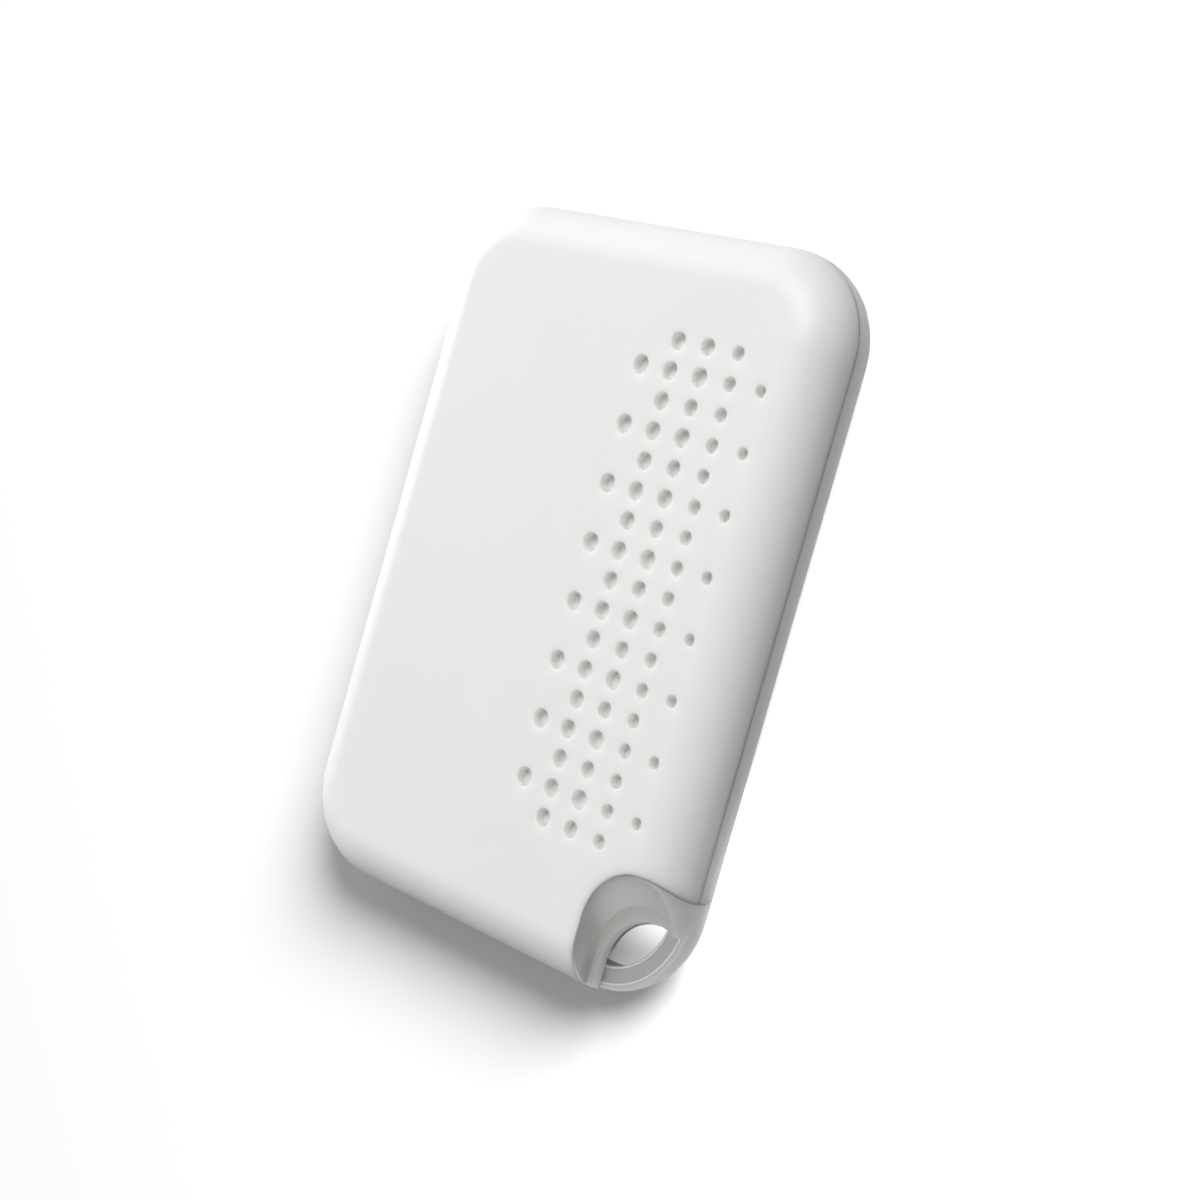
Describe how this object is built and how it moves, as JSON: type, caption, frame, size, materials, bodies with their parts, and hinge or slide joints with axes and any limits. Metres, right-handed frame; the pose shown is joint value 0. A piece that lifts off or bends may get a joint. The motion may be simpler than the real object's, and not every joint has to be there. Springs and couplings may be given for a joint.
{
  "type": "bluetooth beacon",
  "caption": "Key-ring bluetooth beacon: white rounded slab with a dimpled front, snap-together covers, a coin cell framed by its circuit board, and a frosted corner insert as the lanyard loop.",
  "frame": {"origin": "middle of the closed beacon's flat back, on the surface that it lies on", "axes": "+Z out through the dimpled front, +Y along the body away from the corner loop, +X towards the long side that the loop and the dimples are near"},
  "size_m": [0.028, 0.04, 0.0056],
  "materials": {
    "white_cover": "fine moulded satin",
    "frosted_insert": "frosted translucent",
    "board_laminate": "solder mask over glass fibre",
    "moulded_epoxy": "fine matt",
    "crystal_lid": "satin",
    "ferrite": "matt",
    "ceramic_capacitor": "fired ceramic with tinned ends",
    "resistor_film": "glazed film with tinned ends",
    "lamp_resin": "clear resin",
    "gold_copper": "gold over copper",
    "spring_steel": "rolled strip",
    "cell_steel": "drawn and brushed",
    "gasket_plastic": "moulded",
    "lithium": "soft metal sheet",
    "separator_sheet": "thin non-woven sheet",
    "pressed_tablet": "pressed powder"
  },
  "bodies": {
    "base": {"rear_cover": "white_cover", "corner_loop": "frosted_insert", "circuit_board": "board_laminate", "bluetooth_chip": "moulded_epoxy", "main_crystal": "crystal_lid", "watch_crystal": "crystal_lid", "power_inductor": "ferrite", "bulk_capacitor": "ceramic_capacitor", "decoupling_capacitors": "ceramic_capacitor", "resistors": "resistor_film", "status_lamp": "lamp_resin", "antenna_trace": "gold_copper", "matching_parts": "ceramic_capacitor", "test_pads": "gold_copper", "negative_contact": "spring_steel", "positive_contact": "spring_steel"},
    "front": {"front_cover": "white_cover"},
    "cell": {"cell_can": "cell_steel", "cell_gasket": "gasket_plastic", "cell_cap": "cell_steel", "cell_anode": "lithium", "cell_separator": "separator_sheet", "cell_cathode": "pressed_tablet"}
  },
  "joints": [
    {"name": "front_cover_lift", "type": "slide", "parent": "base", "child": "front", "axis": [0, 0, 1], "range_m": [0, 0.012]},
    {"name": "cell_lift", "type": "slide", "parent": "base", "child": "cell", "axis": [0, 0, 1], "range_m": [0, 0.006]}
  ],
  "couplings": [
    {"joint": "cell_lift", "follows": "front_cover_lift", "ratio": 0.5}
  ]
}
